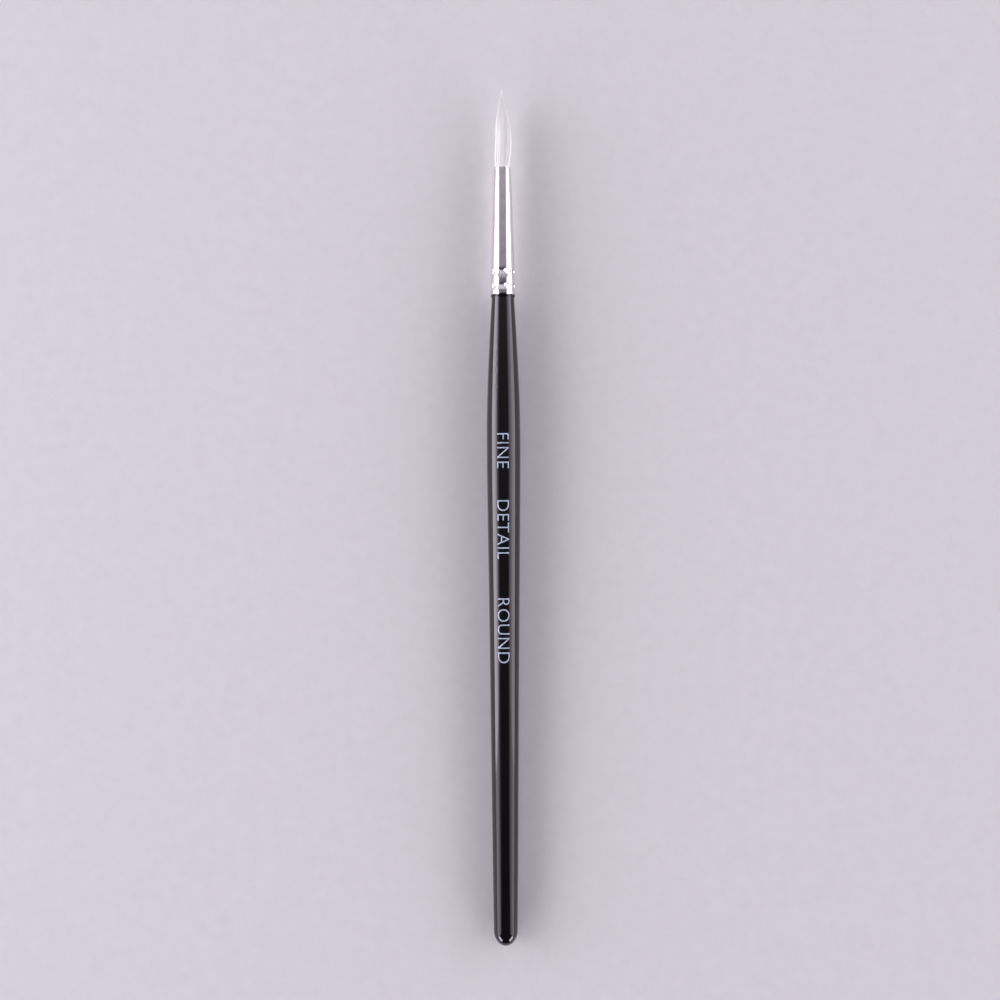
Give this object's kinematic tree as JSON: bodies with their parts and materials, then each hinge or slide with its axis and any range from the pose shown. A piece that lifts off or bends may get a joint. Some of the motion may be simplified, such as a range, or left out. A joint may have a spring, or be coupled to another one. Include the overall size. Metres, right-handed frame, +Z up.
{
  "type": "fine detail brush",
  "caption": "Slim round artist's brush: black lacquered wooden handle swelling towards a double-crimped silver metal ferrule, with a fine pointed white filament tuft that bends at the mouth.",
  "frame": {"origin": "on the table under the middle of the brush's length, below its long axis", "axes": "+Y along the brush from the butt of the handle to the tip of the tuft, +Z up from the table, +X to the brush's right seen from above"},
  "size_m": [0.0076, 0.195, 0.0077],
  "materials": {
    "turned_wood": "bare turned wood, hidden under the lacquer",
    "black_lacquer": "high-gloss dipped black lacquer",
    "glue": "set glue",
    "ferrule_metal": "bright nickel-plated drawn tube",
    "epoxy": "set amber epoxy",
    "filament": "fine white synthetic filament, slightly glossy",
    "thread": "twisted polyester thread"
  },
  "bodies": {
    "handle_and_ferrule": {"handle_core": "turned_wood", "lacquer_coat": "black_lacquer", "tenon_glue": "glue", "ferrule": "ferrule_metal", "epoxy_plug": "epoxy", "filament_roots": "filament", "root_thread": "thread"},
    "tuft": {"belly_filaments": "filament", "point_filaments": "filament"}
  },
  "joints": [
    {"name": "tuft_flex", "type": "hinge", "parent": "handle_and_ferrule", "child": "tuft", "pos_m": [0, 0.0791, 0.00384], "axis": [0, 0, 1], "range_deg": [-35, 35], "stiffness_Nm_per_rad": 0.004}
  ]
}
